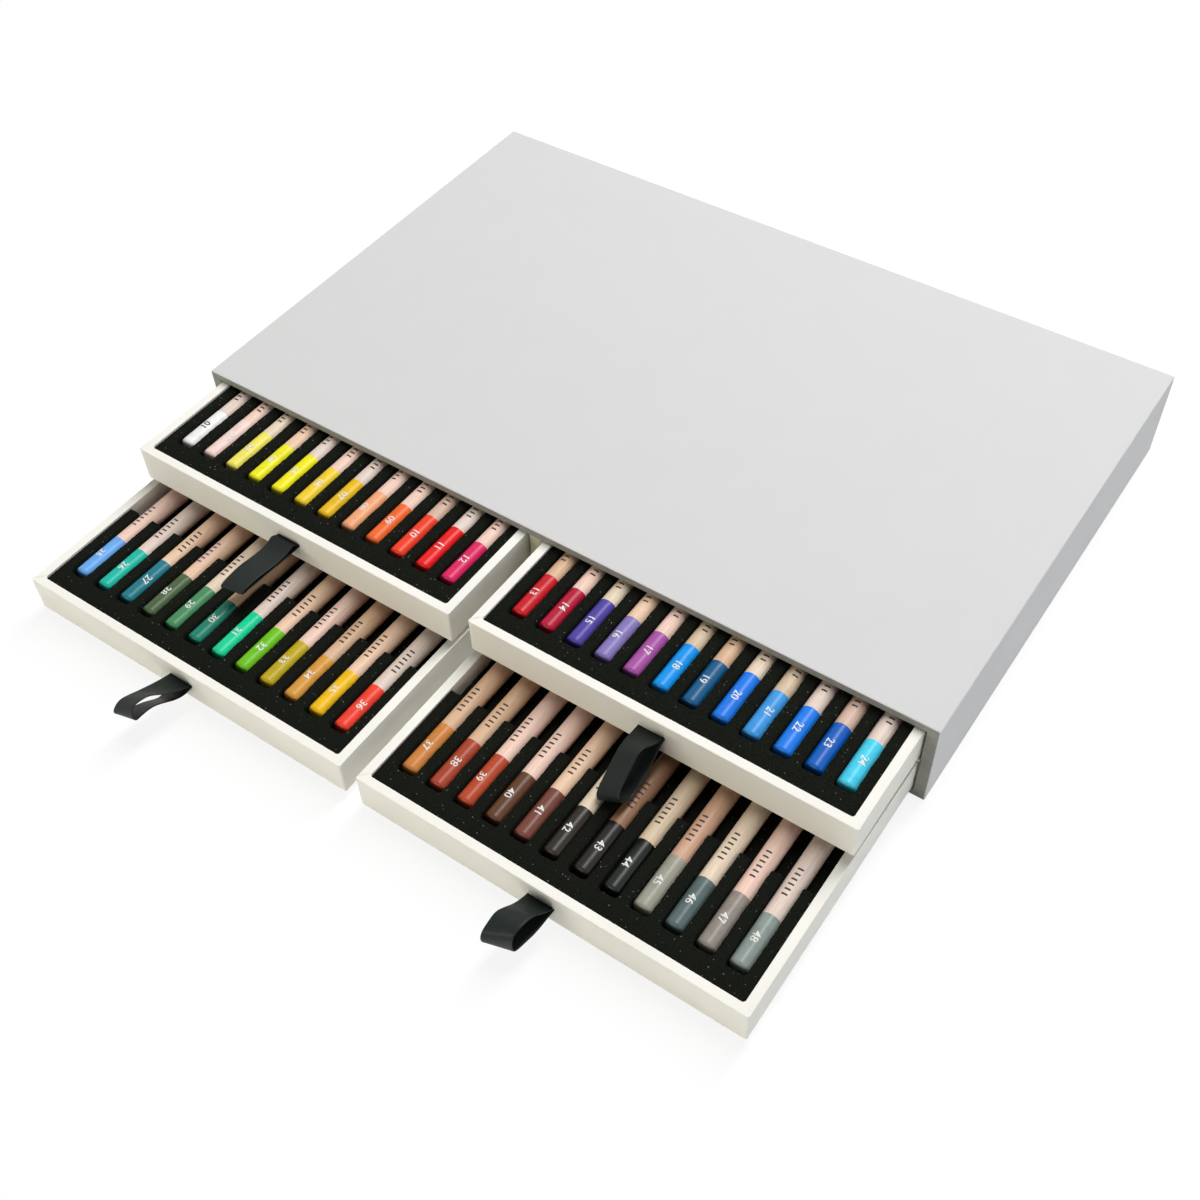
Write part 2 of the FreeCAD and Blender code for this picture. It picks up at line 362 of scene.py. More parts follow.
def open_cell_foam(name, tone, speck):
    """Black polyether foam, split with a blade: a dull nap that swallows light, with painted shade
    in the hollows of its cells, and a pale fleck here and there, a painted glint where a cell's
    wall catches the light.
    """
    made, tree, shader = new_material(name)
    where = add_node(tree, "TexCoord").outputs["Object"]
    # Cells are about 0.3 mm wide; they are drawn 0.5 mm wide
    cells = add_node(tree, "TexNoise", {"Vector": where, "Scale": 1 / (0.5 * MM), "Detail": 3.0})
    # Painted shade: the colour is darkened where the cells' noise is high, as in their hollows
    hollow_shade = add_node(tree, "MapRange", {"Value": cells, "From Min": 0.4, "From Max": 0.65})
    painted_hollow_shade = {"data_type": "RGBA", SHARE: hollow_shade, FIRST: list(tone), SECOND: dimmed(tone, 0.45)}
    mottled = add_node(tree, "Mix", painted_hollow_shade).outputs[BLEND]
    # A fleck is a painted glint round its cell's middle, and only a few cells have one
    flecks = add_node(tree, "TexVoronoi", {"Vector": where, "Scale": 1 / (1.3 * MM)}).outputs
    middle = {"Value": flecks["Distance"], "From Min": 0.08, "From Max": 0.2}
    near = add_node(tree, "MapRange", {**middle, "To Min": 1.0, "To Max": 0.0})
    chance = add_node(tree, "SeparateColor", {0: flecks["Color"]})
    few = add_node(tree, "MapRange", {"Value": chance, "From Min": 0.78, "From Max": 0.94})
    shown = add_node(tree, "Math", {"operation": "MULTIPLY", 0: near, 1: few})
    painted_glints = {"data_type": "RGBA", SHARE: shown, FIRST: mottled, SECOND: list(speck)}
    feed(shader, {"Base Color": add_node(tree, "Mix", painted_glints).outputs[BLEND]})
    feed(shader, {"Roughness": 1.0, "IOR": 1.3, "Specular IOR Level": 0.1})
    feed(shader, {"Normal": add_node(tree, "Bump", {"Height": cells, "Distance": 0.25 * MM})})
    return made


def satin_ribbon(name, tone):
    """Woven satin, its face all floating warp: black, with a soft sheen along its length, partly
    painted into its colour as lighter streaks along the threads, and a tight edge on each side.
    """
    made, tree, shader = new_material(name)
    uv = add_node(tree, "UVMap", {"uv_map": "weave"})
    # The map is in metres across and along. Warp threads are 0.12 mm apart, and are drawn four
    # times as coarse
    warp = add_node(tree, "Mapping", {"Vector": uv, "Scale": (1 / (0.5 * MM), 1 / (6 * MM), 1)})
    threads = add_node(tree, "TexNoise", {"Vector": warp, "Scale": 1.0, "Detail": 2.0})
    across = add_node(tree, "SeparateXYZ", {"Vector": uv})
    off_middle = add_node(tree, "Math", {"operation": "ABSOLUTE", 0: across})
    edge = {"Value": off_middle, "From Min": 4.3 * MM, "From Max": 4.6 * MM}
    selvedge = add_node(tree, "MapRange", edge)
    height = add_node(tree, "Math", {"operation": "ADD", 0: threads, 1: selvedge})
    # Painted sheen: the black is lightened where the threads' noise is high
    painted_sheen = add_node(tree, "MapRange", {"Value": threads, "From Min": 0.35, "From Max": 0.7})
    woven = {"data_type": "RGBA", SHARE: painted_sheen, FIRST: list(tone), SECOND: dimmed(tone, 1.5)}
    feed(shader, {"Base Color": add_node(tree, "Mix", woven).outputs[BLEND]})
    feed(shader, {"Roughness": 0.45, "IOR": 1.45, "Specular IOR Level": 0.22})
    ribs = add_node(tree, "Bump", {"Height": height, "Distance": 0.05 * MM, "Strength": 0.7})
    feed(shader, {"Normal": ribs})
    return made


def cedar_casing(name, grain_tone):
    """Incense cedar, turned round, sanded and sealed with thin matt varnish: straight fine grain
    along the pencil, in a tone that differs from one pencil to the next.
    """
    made, tree, shader = new_material(name)
    where = add_node(tree, "TexCoord").outputs["Object"]
    body = add_node(tree, "Attribute", {"attribute_name": "paint"}).outputs["Color"]
    dark = {
        "data_type": "RGBA",
        "blend_type": "MULTIPLY",
        SHARE: 1.0,
        FIRST: body,
        SECOND: list(grain_tone),
    }
    darker = add_node(tree, "Mix", dark).outputs[BLEND]
    # Growth lines are 0.4 to 0.8 mm apart across the pencil and run along it
    along = add_node(tree, "Mapping", {"Vector": where, "Scale": (1.0, 0.035, 1.0)})
    growth = {"Vector": along, "Scale": 1 / (0.7 * MM), "Detail": 4.0, "Roughness": 0.65}
    lines = add_node(tree, "TexNoise", growth)
    late = {"Value": lines, "From Min": 0.35, "From Max": 0.75, "To Max": 0.4}
    lined = {
        "data_type": "RGBA",
        SHARE: add_node(tree, "MapRange", late),
        FIRST: body,
        SECOND: darker,
    }
    wood = add_node(tree, "Mix", lined).outputs[BLEND]
    pores = add_node(tree, "Mapping", {"Vector": where, "Scale": (1.0, 0.12, 1.0)})
    pore = add_node(tree, "TexNoise", {"Vector": pores, "Scale": 1 / (0.35 * MM), "Detail": 1.0})
    open_pores = {"Value": pore, "From Min": 0.6, "From Max": 0.75, "To Max": 0.3}
    pitted = {
        "data_type": "RGBA",
        SHARE: add_node(tree, "MapRange", open_pores),
        FIRST: wood,
        SECOND: darker,
    }
    feed(shader, {"Base Color": add_node(tree, "Mix", pitted).outputs[BLEND]})
    feed(shader, {"Roughness": 0.55, "IOR": 1.5, "Specular IOR Level": 0.35, "Coat Weight": 0.08})
    raised = add_node(tree, "Bump", {"Height": lines, "Distance": 0.03 * MM, "Strength": 0.5})
    feed(shader, {"Normal": raised})
    return made


def dipped_lacquer(name):
    """Cellulose lacquer, dipped: a thick even gloss coat in the pencil's own colour, with a skin
    like fine orange peel.
    """
    made, tree, shader = new_material(name)
    where = add_node(tree, "TexCoord").outputs["Object"]
    paint = add_node(tree, "Attribute", {"attribute_name": "paint"}).outputs["Color"]
    # Orange peel is about 0.8 mm across
    peel = add_node(tree, "TexNoise", {"Vector": where, "Scale": 1 / (0.8 * MM), "Detail": 1.0})
    pigment = add_node(tree, "TexNoise", {"Vector": where, "Scale": 1 / (3 * MM), "Detail": 2.0})
    weak = add_node(tree, "MapRange", {"Value": pigment, "From Min": 0.45, "From Max": 0.75})
    thin = {
        "data_type": "RGBA",
        "blend_type": "MULTIPLY",
        SHARE: 1.0,
        FIRST: paint,
        SECOND: [0.86, 0.86, 0.86, 1.0],
    }
    thinner = add_node(tree, "Mix", thin).outputs[BLEND]
    coat = {"data_type": "RGBA", SHARE: weak, FIRST: paint, SECOND: thinner}
    feed(shader, {"Base Color": add_node(tree, "Mix", coat).outputs[BLEND]})
    feed(shader, {"Roughness": 0.34, "IOR": 1.5, "Specular IOR Level": 0.27})
    skin = add_node(tree, "Bump", {"Height": peel, "Distance": 0.004 * MM, "Strength": 0.3})
    feed(shader, {"Normal": skin})
    return made


def pastel_core(name):
    """Pressed pigment and clay, ground to a point: dry and chalky, with no gloss at all."""
    made, tree, shader = new_material(name)
    where = add_node(tree, "TexCoord").outputs["Object"]
    paint = add_node(tree, "Attribute", {"attribute_name": "paint"}).outputs["Color"]
    grit = add_node(tree, "TexNoise", {"Vector": where, "Scale": 1 / (0.3 * MM), "Detail": 3.0})
    worn = add_node(tree, "MapRange", {"Value": grit, "From Min": 0.4, "From Max": 0.7})
    chalk = {"data_type": "RGBA", SHARE: 0.18, FIRST: paint, SECOND: [0.9, 0.9, 0.88, 1.0]}
    chalky = add_node(tree, "Mix", chalk).outputs[BLEND]
    dusty = {"data_type": "RGBA", SHARE: worn, FIRST: paint, SECOND: chalky}
    feed(shader, {"Base Color": add_node(tree, "Mix", dusty).outputs[BLEND]})
    feed(shader, {"Roughness": 0.95, "IOR": 1.45, "Specular IOR Level": 0.15})
    feed(shader, {"Normal": add_node(tree, "Bump", {"Height": grit, "Distance": 0.08 * MM})})
    return made


def foil_print(name):
    """Ink pressed on by a hot stamp: flat and even, broken a little where the surface has pits."""
    made, tree, shader = new_material(name)
    where = add_node(tree, "TexCoord").outputs["Object"]
    ink = add_node(tree, "Attribute", {"attribute_name": "paint"}).outputs["Color"]
    pits = add_node(tree, "TexNoise", {"Vector": where, "Scale": 1 / (0.4 * MM), "Detail": 2.0})
    bare = add_node(tree, "MapRange", {"Value": pits, "From Min": 0.5, "From Max": 0.7})
    thin = {
        "data_type": "RGBA",
        "blend_type": "MULTIPLY",
        SHARE: 1.0,
        FIRST: ink,
        SECOND: [0.8, 0.8, 0.8, 1.0],
    }
    worn = add_node(tree, "Mix", thin).outputs[BLEND]
    stamped = {"data_type": "RGBA", SHARE: bare, FIRST: ink, SECOND: worn}
    feed(shader, {"Base Color": add_node(tree, "Mix", stamped).outputs[BLEND]})
    feed(shader, {"Roughness": 0.5, "IOR": 1.5, "Specular IOR Level": 0.4})
    return made


def once(maker, name, *values):
    """The material of that name, made by its maker the first time."""
    return bpy.data.materials.get(name) or maker(name, *values)


def grey_paper_finish():
    """The paper outside the sleeve, smooth and even."""
    own = settings("box_sleeve")
    return once(covering_paper, "grey_wrapping_paper", own.grey_paper, 0.01, 0.7)


def lining_finish():
    """The paper inside the sleeve, rougher and more clouded."""
    return once(covering_paper, "lining_paper", settings("box_sleeve").lining, 0.08, 0.85)


def cream_paper_finish():
    """The paper round the trays."""
    own = settings("box_tray")
    return once(covering_paper, "cream_wrapping_paper", own.cream_paper, 0.03, 0.8)


def foam_finish():
    """The foam that holds the pencils."""
    own = settings("box_foam")
    return once(open_cell_foam, "black_open_cell_foam", own.foam, own.speck)


def random_numbers(*words):
    """A random number generator whose seed comes from words, so each run gives the same."""
    seed = sum(ord(letter) * (i + 1) for i, letter in enumerate("".join(words)))
    return np.random.default_rng(seed)


def drift(places, step, source):
    """Smooth random values from -1 to 1 along a line of places: one random height for each step,
    eased from one to the next along a cosine.
    """
    along = (places - places.min()) / step
    whole = along.astype(int)
    heights = source.uniform(-1, 1, whole.max() + 2)
    share = (1 - np.cos((along - whole) * pi)) / 2
    return heights[whole] * (1 - share) + heights[whole + 1] * share


def grid_faces(rows, columns, closed=False):
    """The quads of a grid of points counted row by row. The last column joins the first when the
    grid is closed.
    """
    first = np.arange(rows * columns).reshape(rows, columns)
    after = np.roll(first, -1, axis=1)
    if not closed:
        first, after = first[:, :-1], after[:, :-1]
    corners = (first[:-1], after[:-1], after[1:], first[1:])
    return np.stack([c.ravel() for c in corners], axis=1)


def build(name, points, faces, materials, face_material=None):
    """A smooth mesh object from arrays of points and faces, with its materials."""
    mesh = bpy.data.meshes.new(name)
    mesh.from_pydata(np.asarray(points).reshape(-1, 3).tolist(), [], [list(f) for f in faces])
    for material in materials:
        mesh.materials.append(material)
    if face_material is not None:
        mesh.polygons.foreach_set("material_index", np.asarray(face_material, np.int32))
    mesh.polygons.foreach_set("use_smooth", np.ones(len(mesh.polygons), bool))
    mesh.update()
    made = bpy.data.objects.new(name, mesh)
    bpy.context.scene.collection.objects.link(made)
    return made


def give_paint(piece, colours):
    """Gives every point of a piece its colour. Where there are fewer colours than points, each
    colour is for an equal run of them.
    """
    run = len(piece.data.vertices) // len(colours)
    made = piece.data.attributes.new("paint", "FLOAT_COLOR", "POINT")
    made.data.foreach_set("color", np.repeat(colours, run, axis=0).astype(np.float32).ravel())


def even_flats(piece):
    """Shades large flats as flat right up to their rounded edges."""
    piece.modifiers.new("even_flats", "WEIGHTED_NORMAL").keep_sharp = True


def seat(piece, body, slot, *nodes):
    """Fixes a piece to its body and hides the nodes that it stands for. The slot is not used."""
    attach(piece, body)
    if nodes:
        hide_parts(*nodes)


def rounded_rectangle(low, high, radius, stops, arc_points=4):
    """Points round a rectangle with rounded corners, from the lower left corner and anticlockwise.
    A corner is a quarter circle, and stops are the places of the points between corners, along
    each of the two ways.
    """
    (x0, y0), (x1, y1) = low, high
    turn = np.linspace(0, pi / 2, arc_points)
    corners = (
        (x1 - radius, y0 + radius, -pi / 2),
        (x1 - radius, y1 - radius, 0.0),
        (x0 + radius, y1 - radius, pi / 2),
        (x0 + radius, y0 + radius, pi),
    )
    xs, ys = (np.asarray(s, float) for s in stops)
    sides = (
        np.stack([xs, np.full(len(xs), y0)], axis=1),
        np.stack([np.full(len(ys), x1), ys], axis=1),
        np.stack([xs[::-1], np.full(len(xs), y1)], axis=1),
        np.stack([np.full(len(ys), x0), ys[::-1]], axis=1),
    )
    parts = []
    for side, (cx, cy, start) in zip(sides, corners):
        arc = np.stack(
            [cx + radius * np.cos(start + turn), cy + radius * np.sin(start + turn)], axis=1
        )
        parts += [side, arc]
    return np.concatenate(parts)


def lofted(rings):
    """Faces through rings of equal numbers of points, closed with a flat face at each end."""
    count, around = len(rings), len(rings[0])
    quads = grid_faces(count, around, closed=True).tolist()
    start = list(range(around))[::-1]
    end = list(range((count - 1) * around, count * around))
    return quads + [start, end]


def build_lofted(name, rings, materials, face_material=None):
    """A closed mesh object through rings of points, its flats shaded as flat."""
    made = build(name, np.concatenate(rings), lofted(rings), materials, face_material)
    even_flats(made)
    return made


def joined(parts):
    """Many small meshes as one: their points in a row, and their faces counted on from there."""
    starts = np.cumsum([0] + [len(points) for points, _ in parts]).tolist()
    faces = [[v + start for v in face] for start, (_, own) in zip(starts, parts) for face in own]
    return np.concatenate([points for points, _ in parts]), faces


def quarter(steps=3):
    """Shares along a quarter circle that turns from one way to the next: how far it has gone in
    the new way, and how far it still lacks in the old one.
    """
    turn = np.linspace(0, pi / 2, steps + 1)
    return list(zip(1 - np.cos(turn), 1 - np.sin(turn)))


def across_sleeve(x, z, y, radius):
    """One ring of the sleeve, upright across it, anticlockwise as seen from the front."""
    stops = (np.linspace(x[0] + radius, x[1] - radius, 9)[1:-1], np.linspace(z[0], z[1], 4)[1:-1])
    flat = rounded_rectangle((x[0], z[0]), (x[1], z[1]), radius, stops)
    return np.insert(flat, 1, y, axis=1)


# The places of the finishes in the sleeve's list of materials
GREY_PAPER, BARE_BOARD, LINING = 0, 1, 2


def make_sleeve_shell():
    """The sleeve's board with its paper, as rings carried from the back over the outside to the
    mouth, over the mouth's edge and back along the inside.
    """
    own = settings("box_sleeve")
    low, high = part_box("sleeve_bottom")
    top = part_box("sleeve_top")
    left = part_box("sleeve_left_wall")
    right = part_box("sleeve_right_wall")
    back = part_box("sleeve_back_wall")
    x, z = (low.x, high.x), (low.z, top[1].z)
    inside_x, inside_z = (left[1].x, right[0].x), (high.z, top[0].z)
    mouth, rear = low.y, high.y - own.back_paper
    inner_corner = 0.4 * MM
    rings, kinds = [], []

    def ring(inset, y, kind):
        radius = max(own.long_edge - inset, 0.1 * MM)
        wide, tall = (x[0] + inset, x[1] - inset), (z[0] + inset, z[1] - inset)
        rings.append(across_sleeve(wide, tall, y, radius))
        kinds.append(kind)

    for gone, lacking in quarter():
        ring(own.long_edge * lacking, rear - own.long_edge * gone, GREY_PAPER)
    ring(0.0, (mouth + rear) / 2, GREY_PAPER)
    for gone, lacking in quarter():
        ring(own.mouth_edge * gone, mouth + own.mouth_edge * lacking, GREY_PAPER)
    for gone, lacking in quarter():
        inset = own.mouth_edge * lacking
        wide = (inside_x[0] - inset, inside_x[1] + inset)
        tall = (inside_z[0] - inset, inside_z[1] + inset)
        rings.append(across_sleeve(wide, tall, mouth + own.mouth_edge * gone, inner_corner))
        kinds.append(BARE_BOARD)
    rings.append(across_sleeve(inside_x, inside_z, back[0].y, inner_corner))
    kinds.append(LINING)
    strips = np.maximum(kinds[:-1], kinds[1:])
    face_material = np.repeat(strips, len(rings[0])).tolist() + [GREY_PAPER, LINING]
    board = once(greyboard_edge, "cut_greyboard", own.board_edge)
    finishes = [grey_paper_finish(), board, lining_finish()]
    shell = build_lofted("sleeve_shell", rings, finishes, face_material)
    boards = ("top", "bottom", "left_wall", "right_wall", "back_wall")
    seat(shell, "sleeve", "grey_board", *("sleeve_" + b for b in boards))


def make_back_paper():
    """The separate sheet on the back, inset from the edges, over the folded ends of the wrap."""
    own = settings("box_sleeve")
    low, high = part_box("sleeve_bottom")
    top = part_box("sleeve_top")[1].z
    x = (low.x + own.back_inset, high.x - own.back_inset)
    z = (low.z + own.back_inset, top - own.back_inset)
    corner = 0.8 * MM
    places = (high.y, high.y - own.back_paper / 2, high.y - own.back_paper)
    rings = [across_sleeve(x, z, y, corner) for y in places]
    sheet = build_lofted("sleeve_back_paper", rings, [grey_paper_finish()])
    seat(sheet, "sleeve", "grey_board")


def make_partition(name, node, edge):
    """A partition inside the sleeve: board in lining paper that is folded round its front edge,
    as a quarter circle on each side with the edge's radius.
    """
    low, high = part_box(node)
    upright = high.x - low.x < high.z - low.z
    corner = min(edge / 2, 0.3 * MM)
    places = [(0.0, high.y)]
    places += [(edge * gone, low.y + edge * lacking) for gone, lacking in quarter(4)]
    rings = []
    for inset, y in places:
        from_x, from_z = (inset, 0.0) if upright else (0.0, inset)
        x, z = (low.x + from_x, high.x - from_x), (low.z + from_z, high.z - from_z)
        rings.append(across_sleeve(x, z, y, corner))
    piece = build_lofted(name, rings, [lining_finish()])
    seat(piece, "sleeve", "cream_board", node)


def node_points(name):
    """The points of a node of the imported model, as an array."""
    return np.array([v.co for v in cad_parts[name].data.vertices])


def tray_plan(place):
    """Where one tray's boards, foam and pencils lie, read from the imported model."""
    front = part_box(place + "_drawer_front")
    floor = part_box(place + "_drawer_floor")
    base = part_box(place + "_foam_base")
    foam = (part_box(place + "_foam_front"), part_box(place + "_foam_rear"))
    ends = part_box(place + "_dipped_ends")
    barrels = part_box(place + "_pencil_barrels")
    corners = node_points(place + "_pencil_points")
    tips = corners[corners[:, 1] > corners[:, 1].max() - 0.01 * MM]
    axes = np.unique(np.round(tips[:, 0], 6))
    rings = np.unique(np.round(node_points(place + "_pencil_barrels")[:, 1], 6))
    return SimpleNamespace(
        place=place,
        body=place + "_drawer",
        x=(front[0].x, front[1].x),
        middle=(front[0].x + front[1].x) / 2,
        y=(front[0].y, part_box(place + "_drawer_back")[1].y),
        wall=front[1].y - front[0].y,
        z=(front[0].z, front[1].z),
        floor_top=floor[1].z,
        base=base,
        foam=foam,
        axes=axes,
        axis_height=float(tips[0, 2]),
        radius=float(barrels[1].x - axes[-1]),
        tip=float(ends[0].y),
        seam=float(rings[0]),
        shoulder=float(rings[1]),
        core_start=float(rings[2]),
        point=float(tips[0, 1]),
        core_radius=float(corners[:, 0].max() - axes[-1]),
    )


def slit_of(plan):
    """The slit's low and high places along X and Z, from the front board's own corners."""
    corners = node_points(plan.place + "_drawer_front")
    z = corners[:, 2]
    inner = corners[(z > plan.z[0] + 0.1 * MM) & (z < plan.z[1] - 0.1 * MM)]
    return (inner[:, 0].min(), inner[:, 0].max()), (inner[:, 2].min(), inner[:, 2].max())


def make_tray(plan):
    """A tray of board wrapped in paper, as rings carried up the outside, over the rim and down
    the inside, with the slit for the ribbon left open through the front.
    """
    own = settings("box_tray")
    source = random_numbers(plan.place, "tray")
    slit_x, slit_z = slit_of(plan)
    # The points along the sides keep clear of the corners, and two close ones make the lap's edge
    clear = own.inner_corner + plan.wall + 0.5 * MM
    fold = 0.04 * MM
    sharpest = 0.15 * MM
    slit_stops = np.linspace(slit_x[0], slit_x[1], 9)
    left_stops = np.linspace(plan.x[0] + clear, slit_x[0], 9)[:-1]
    right_stops = np.linspace(slit_x[1], plan.x[1] - clear, 9)[1:]
    xs = np.concatenate([left_stops, slit_stops, right_stops])
    lap = plan.y[0] + own.overlap
    ys = np.linspace(plan.y[0] + clear, plan.y[1] - clear, 20)
    ys = np.concatenate([[lap, lap + fold], ys])
    slit_start = len(left_stops)
    rings = []

    def ring(inset, z, radius):
        low = (plan.x[0] + inset, plan.y[0] + inset)
        high = (plan.x[1] - inset, plan.y[1] - inset)
        past_corner = low[1] + radius + np.arange(len(ys)) * fold
        flat = rounded_rectangle(low, high, radius, (xs, np.maximum(ys, past_corner)), 6)
        if inset < own.rim:
            lapped = (flat[:, 1] > low[1] + radius / 2) & (flat[:, 1] < lap + fold / 2)
            flat[lapped, 0] += np.sign(flat[lapped, 0] - plan.middle) * own.paper_step
        rings.append(np.insert(flat, 2, z, axis=1))

    rim, wall = own.rim, plan.wall
    for gone, lacking in quarter(3):
        inset = rim * lacking
        ring(inset, plan.z[0] + rim * gone, max(own.outer_corner - inset, sharpest))
    outer_rows = []
    for z in (slit_z[0], slit_z[1]):
        outer_rows.append(len(rings))
        ring(0.0, z, own.outer_corner)
    for gone, lacking in quarter(4):
        inset = rim * gone
        ring(inset, plan.z[1] - rim * lacking, max(own.outer_corner - inset, sharpest))
    for gone, lacking in quarter(4):
        inset = wall - rim * lacking
        ring(inset, plan.z[1] - rim * gone, own.inner_corner + wall - inset)
    inner_rows = []
    for z in (slit_z[1], slit_z[0]):
        inner_rows.append(len(rings))
        ring(wall, z, own.inner_corner)
    ring(wall, plan.floor_top, own.inner_corner)
    around = len(rings[0])
    points = np.concatenate(rings)
    # The boards bow inwards in waves of nine points each, the more the higher
    waves = drift(np.arange(around, dtype=float), 9.0, source) * own.wave
    heights = np.array([r[0, 2] for r in rings])
    lift = (heights - plan.z[0]) / (plan.z[1] - plan.z[0])
    centre = np.array([plan.middle, (plan.y[0] + plan.y[1]) / 2])
    away = points[:, :2] - centre
    shares = np.abs(away) / (plan.x[1] - plan.x[0], plan.y[1] - plan.y[0])
    side = shares[:, 0] > shares[:, 1]
    push = np.tile(waves, len(rings)) * np.repeat(lift, around)
    points[:, 0] -= np.where(side, np.sign(away[:, 0]) * np.abs(push), 0)
    points[:, 1] -= np.where(side, 0, np.sign(away[:, 1]) * np.abs(push))
    keep = np.ones((len(rings) - 1, around), bool)
    span = slice(slit_start, slit_start + len(slit_stops) - 1)
    keep[outer_rows[0], span] = False
    keep[inner_rows[0], span] = False
    quads = grid_faces(len(rings), around, closed=True)[keep.ravel()].tolist()
    a, b = span.start, span.stop
    out_low, out_high = (row * around for row in outer_rows)
    in_high, in_low = (row * around for row in inner_rows)
    for i in range(a, b):
        quads.append([out_low + i, out_low + i + 1, in_low + i + 1, in_low + i])
        quads.append([out_high + i + 1, out_high + i, in_high + i, in_high + i + 1])
    quads.append([out_low + a, in_low + a, in_high + a, out_high + a])
    quads.append([in_low + b, out_low + b, out_high + b, in_high + b])
    caps = [list(range(around))[::-1], list(range((len(rings) - 1) * around, len(rings) * around))]
    tray = build(plan.place + "_tray", points, quads + caps, [cream_paper_finish()])
    even_flats(tray)
    boards = ("floor", "front", "back", "left_side", "right_side")
    seat(tray, plan.body, "cream_board", *(plan.place + "_drawer_" + b for b in boards))


def closed_slab(top, bottom):
    """Points and faces of a slab, from its top as a grid of rows and columns, and the height of
    its flat underside.
    """
    rows, columns = top.shape[:2]
    index = np.arange(rows * columns).reshape(rows, columns)
    edge = np.concatenate([index[0], index[1:, -1], index[-1, -2::-1], index[-2:0:-1, 0]])
    below = top.reshape(-1, 3)[edge].copy()
    below[:, 2] = bottom
    points = np.concatenate([top.reshape(-1, 3), below])
    lower = rows * columns + np.arange(len(edge))
    next_edge, next_lower = np.roll(edge, -1), np.roll(lower, -1)
    sides = np.stack([lower, next_lower, next_edge, edge], axis=1)
    return points, grid_faces(rows, columns).tolist() + sides.tolist() + [lower[::-1].tolist()]


def make_slotted_foam(plan, slab, name, node, slot_y, source):
    """The upper layer of foam, cut with a slot for each pencil. Across the tray each slot has a
    left and a right edge that stray from straight, and the columns of points between two edges
    are spread evenly. The slots span slot_y, one end of which is the slab's own edge. The other
    is inside the slab and rounded.
    """
    own = settings("box_foam")
    low, high = slab
    closed_end, towards = (slot_y[0], 1) if slot_y[0] > low.y else (slot_y[1], -1)
    rows = np.arange(low.y, high.y, own.row_step)
    near = np.array([-0.9, -0.3, 0.02, 0.25, 0.6]) * MM
    rows = np.unique(np.concatenate([rows, [high.y], closed_end + towards * near]))
    rows = rows[(rows >= low.y) & (rows <= high.y)]
    inward = (rows - closed_end) * towards
    open_row = inward > 0
    # A slot is a little wider than its pencil, and narrows to 0.6 of that along a quarter of an
    # ellipse at its closed end
    full_half, round_length = plan.radius + 0.12 * MM, 1.4 * MM
    end_round = np.clip(inward / round_length, 0, 1)
    half = full_half * (0.6 + 0.4 * np.sqrt(1 - (1 - end_round) ** 2))
    count = len(plan.axes)
    left = np.empty((count, len(rows)))
    right = np.empty((count, len(rows)))
    ragged = 0.09 * MM
    for i, axis in enumerate(plan.axes):
        rough = source.uniform(-1, 1, (2, len(rows))) * ragged
        wander = drift(rows, 2.2 * MM, source) * 0.25 + drift(rows, 7 * MM, source) * 0.35
        left[i] = axis - half + rough[0]
        right[i] = axis + half + rough[1] - own.lip * np.clip(0.42 + wander, 0, 1)
    skin_below, off_row = 0.1 * MM, 0.1 * MM
    deepest = high.z - (low.z + skin_below)
    # Across the bridge between two slots, and across a slot with how deep it is there
    flat_shares = np.linspace(0, 1, 8)[1:-1]
    slot_shares = np.array([0, 0.004, 0.01, 0.27, 0.5, 0.73, 0.99, 0.996, 1])
    slot_depths = np.array([0.04, 0.4, 1, 1, 1, 1, 1, 0.4, 0.04])
    xs, depths = [], []
    starts = [np.full(len(rows), low.x)] + list(right)
    stops = list(left) + [np.full(len(rows), high.x)]
    for i in range(count + 1):
        shares = flat_shares if 0 < i < count else np.linspace(0, 1, 6)
        shares = shares[:-1] if i == 0 else shares[1:] if i == count else shares
        for share in shares:
            xs.append(starts[i] * (1 - share) + stops[i] * share)
            depths.append(np.zeros(len(rows)))
        if i < count:
            for share, depth in zip(slot_shares, slot_depths):
                xs.append(left[i] * (1 - share) + right[i] * share)
                depths.append(np.where(open_row, depth, 0.0))
    xs, depths = np.array(xs).T, np.array(depths).T
    nap = source.uniform(-1, 0.4, xs.shape) * own.nap * (depths < 0.1)
    grid = np.stack([xs, np.repeat(rows[:, None], xs.shape[1], axis=1), high.z + nap], axis=2)
    grid[..., 2] -= depths * deepest
    inner = grid[1:-1, 1:-1, 1]
    inner += source.uniform(-1, 1, inner.shape) * off_row
    points, faces = closed_slab(grid, low.z)
    piece = build(name, points, faces, [foam_finish()])
    seat(piece, plan.body, "black_foam", node)


def make_foam(plan):
    """The foam in a tray: a whole slab below, and a slotted slab before and behind the trough."""
    own = settings("box_foam")
    source = random_numbers(plan.place, "foam")
    low, high = plan.base
    step, columns = 1.6 * MM, 96
    x, y = np.meshgrid(np.linspace(low.x, high.x, columns), np.arange(low.y, high.y, step))
    z = high.z + source.uniform(-1, 0, x.shape) * own.nap
    points, faces = closed_slab(np.stack([x, y, z], axis=2), low.z)
    bed = build(plan.place + "_foam_bed", points, faces, [foam_finish()])
    seat(bed, plan.body, "black_foam", plan.place + "_foam_base")
    front, rear = plan.foam
    point_gap = 0.2 * MM
    for part, slab, slot_y in (
        ("front", front, (plan.tip - own.tip_gap, front[1].y)),
        ("rear", rear, (rear[0].y, plan.point + point_gap)),
    ):
        name, node = f"{plan.place}_{part}_foam", f"{plan.place}_foam_{part}"
        make_slotted_foam(plan, slab, name, node, slot_y, source)


